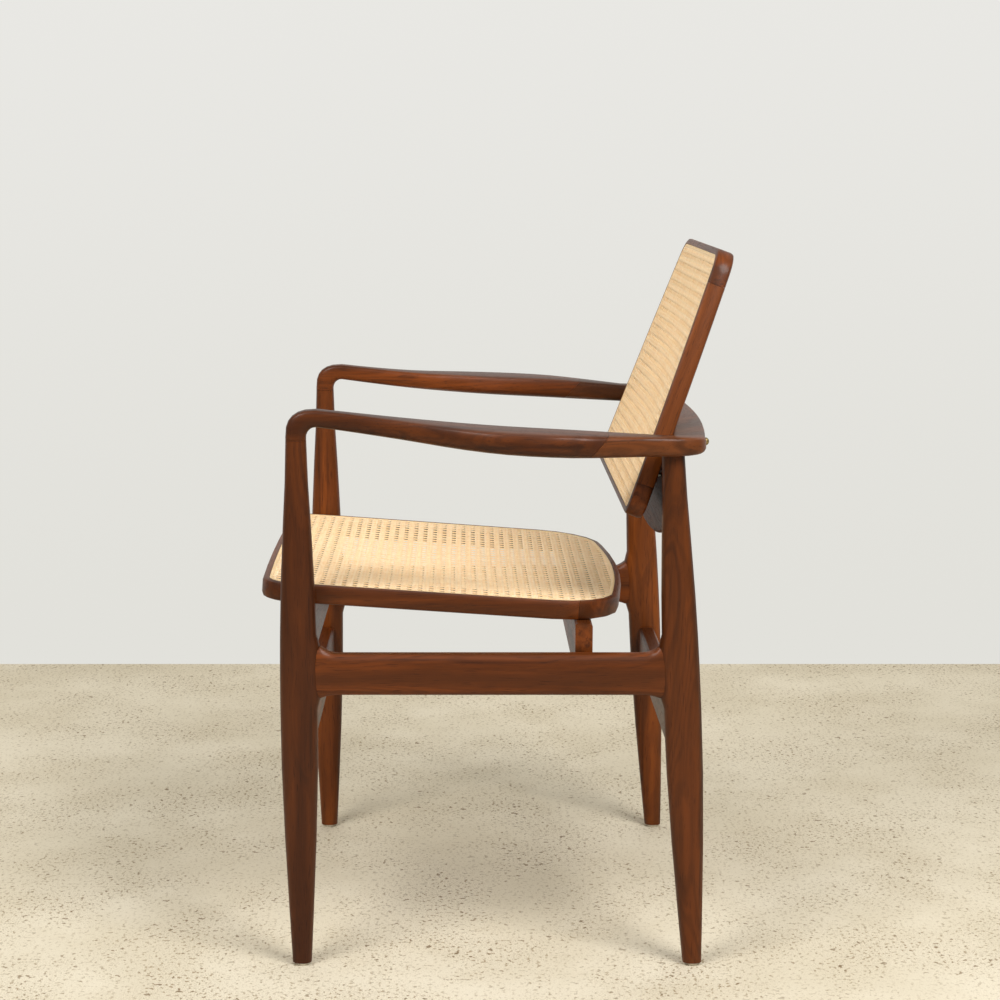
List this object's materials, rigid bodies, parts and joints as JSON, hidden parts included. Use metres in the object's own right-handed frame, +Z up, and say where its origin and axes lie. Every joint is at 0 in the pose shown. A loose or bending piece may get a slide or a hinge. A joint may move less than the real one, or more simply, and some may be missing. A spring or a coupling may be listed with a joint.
{
  "type": "caned open armchair",
  "caption": "Open armchair in dark wood with spindle-shaped legs, paddle arms scarfed to a bowed back rail, and a framed cane seat and tapered cane back.",
  "frame": {"origin": "on the floor, under the middle of the chair's bounding box", "axes": "+Z up, -Y to the front of the chair, +X to the sitter's left"},
  "size_m": [0.6728, 0.551, 0.8293],
  "materials": {
    "wood": "dark reddish-brown hardwood with dark streaks, satin varnish",
    "cane": "woven natural cane webbing, matt honey colour",
    "spline": "natural reed spline",
    "glide": "pale moulded nylon",
    "brass": "aged brass",
    "steel": "plain zinc-plated steel"
  },
  "bodies": {
    "root": {"front_leg_left": "wood", "front_leg_right": "wood", "rear_leg_left": "wood", "rear_leg_right": "wood", "arm_left": "wood", "arm_right": "wood", "back_rail": "wood", "back_apron": "wood", "side_stretcher_left": "wood", "side_stretcher_right": "wood", "front_seat_bearer": "wood", "rear_seat_bearer": "wood", "front_cross_rail": "wood", "rear_cross_rail": "wood", "seat_front_rail": "wood", "seat_rear_rail": "wood", "seat_rail_left": "wood", "seat_rail_right": "wood", "seat_cane": "cane", "seat_spline": "spline", "back_bottom_rail": "wood", "back_top_rail": "wood", "back_stile_left": "wood", "back_stile_right": "wood", "back_cane": "cane", "back_spline": "spline", "front_foot_glide_left": "glide", "front_foot_glide_right": "glide", "rear_foot_glide_left": "glide", "rear_foot_glide_right": "glide", "brass_back_screw_left": "brass", "brass_back_screw_right": "brass", "apron_screw_left": "steel", "apron_screw_right": "steel", "front_seat_screw_left": "steel", "front_seat_screw_right": "steel", "rear_seat_screw_left": "steel", "rear_seat_screw_right": "steel"}
  },
  "joints": []
}
